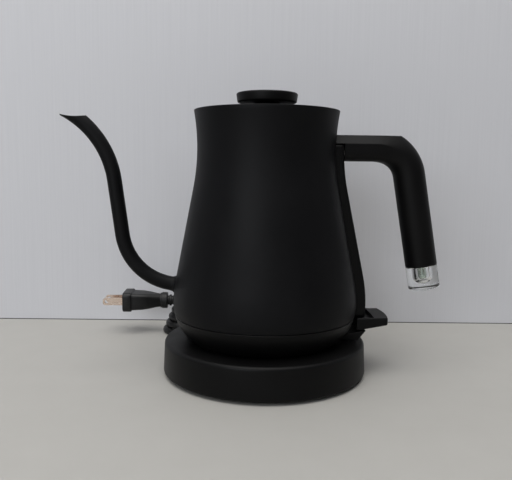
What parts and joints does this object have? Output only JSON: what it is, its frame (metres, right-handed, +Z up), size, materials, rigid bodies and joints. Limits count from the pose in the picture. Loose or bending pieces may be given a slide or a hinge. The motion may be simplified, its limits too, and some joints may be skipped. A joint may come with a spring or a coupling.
{
  "type": "gooseneck kettle",
  "caption": "Matte black electric gooseneck kettle on a round corded base: flared body, thin swan-neck spout, lift-off knobbed lid, handle with a clear lamp at its end, press-down rear switch.",
  "frame": {"origin": "middle of the base's rubber foot ring, in the plane of the table", "axes": "+Z up; +X towards the handle and the switch, -X towards the spout; +Y towards the back, where the mains lead leaves the base"},
  "size_m": [0.2646, 0.2008, 0.194],
  "materials": {
    "black_coat": "matte black baked coat",
    "black_plastic": "fine matte moulding",
    "inner_plastic": "glass-filled moulding",
    "black_rubber": "matte",
    "cord_jacket": "smooth matte jacket",
    "bare_steel": "plain steel",
    "bare_aluminium": "plain",
    "brass": "tinned",
    "clear_acrylic": "clear polished",
    "lamp_glass": "thin clear glass",
    "lead_sleeve": "woven sleeve"
  },
  "bodies": {
    "base": {"base_housing": "black_plastic", "base_cover": "black_plastic", "base_foot_ring": "black_rubber", "base_screws": "bare_steel", "connector_turret": "inner_plastic", "turret_contacts": "brass", "cord_gland": "cord_jacket", "cord_lead": "cord_jacket", "cord_hank": "cord_jacket", "cord_tie": "cord_jacket", "plug_body": "cord_jacket", "plug_blades": "brass"},
    "kettle": {"body_shell": "black_coat", "spout": "black_coat", "heater_plate": "bare_steel", "heat_spreader": "bare_aluminium", "heating_element": "bare_aluminium", "element_terminals": "bare_steel", "kettle_connector": "inner_plastic", "dry_boil_discs": "bare_steel", "connector_pins": "brass", "connector_screws": "bare_steel", "bottom_housing": "black_plastic", "spacer_posts": "bare_steel", "bottom_screws": "bare_steel", "lever_pin": "bare_steel", "switch_box": "inner_plastic", "handle_spine": "black_plastic", "handle_screws": "bare_steel", "weld_studs": "bare_steel", "handle_grip": "black_plastic", "lamp_lens": "clear_acrylic", "lamp_holder": "inner_plastic", "neon_lamp": "lamp_glass", "lamp_electrodes": "bare_steel", "lamp_lead": "lead_sleeve"},
    "lid": {"lid_plate": "black_coat", "lid_skirt": "bare_steel", "lid_gasket": "black_rubber", "lid_knob": "black_plastic", "knob_screw": "bare_steel"},
    "lever": {"switch_lever": "black_plastic"},
    "rod": {"trip_rod": "inner_plastic"}
  },
  "joints": [
    {"name": "kettle_lift", "type": "slide", "parent": "base", "child": "kettle", "axis": [0, 0, 1], "range_m": [0, 0.1]},
    {"name": "lid_lift", "type": "slide", "parent": "kettle", "child": "lid", "axis": [0, 0, 1], "range_m": [0, 0.06]},
    {"name": "switch_press", "type": "hinge", "parent": "kettle", "child": "lever", "pos_m": [0.056, 0, 0.0362], "axis": [0, 1, 0], "range_deg": [0, 4]},
    {"name": "trip_slide", "type": "slide", "parent": "kettle", "child": "rod", "axis": [0, 0, 1], "range_m": [0, 0.000735]}
  ],
  "couplings": [
    {"joint": "trip_slide", "follows": "switch_press", "m_per_rad": 0.0105}
  ]
}
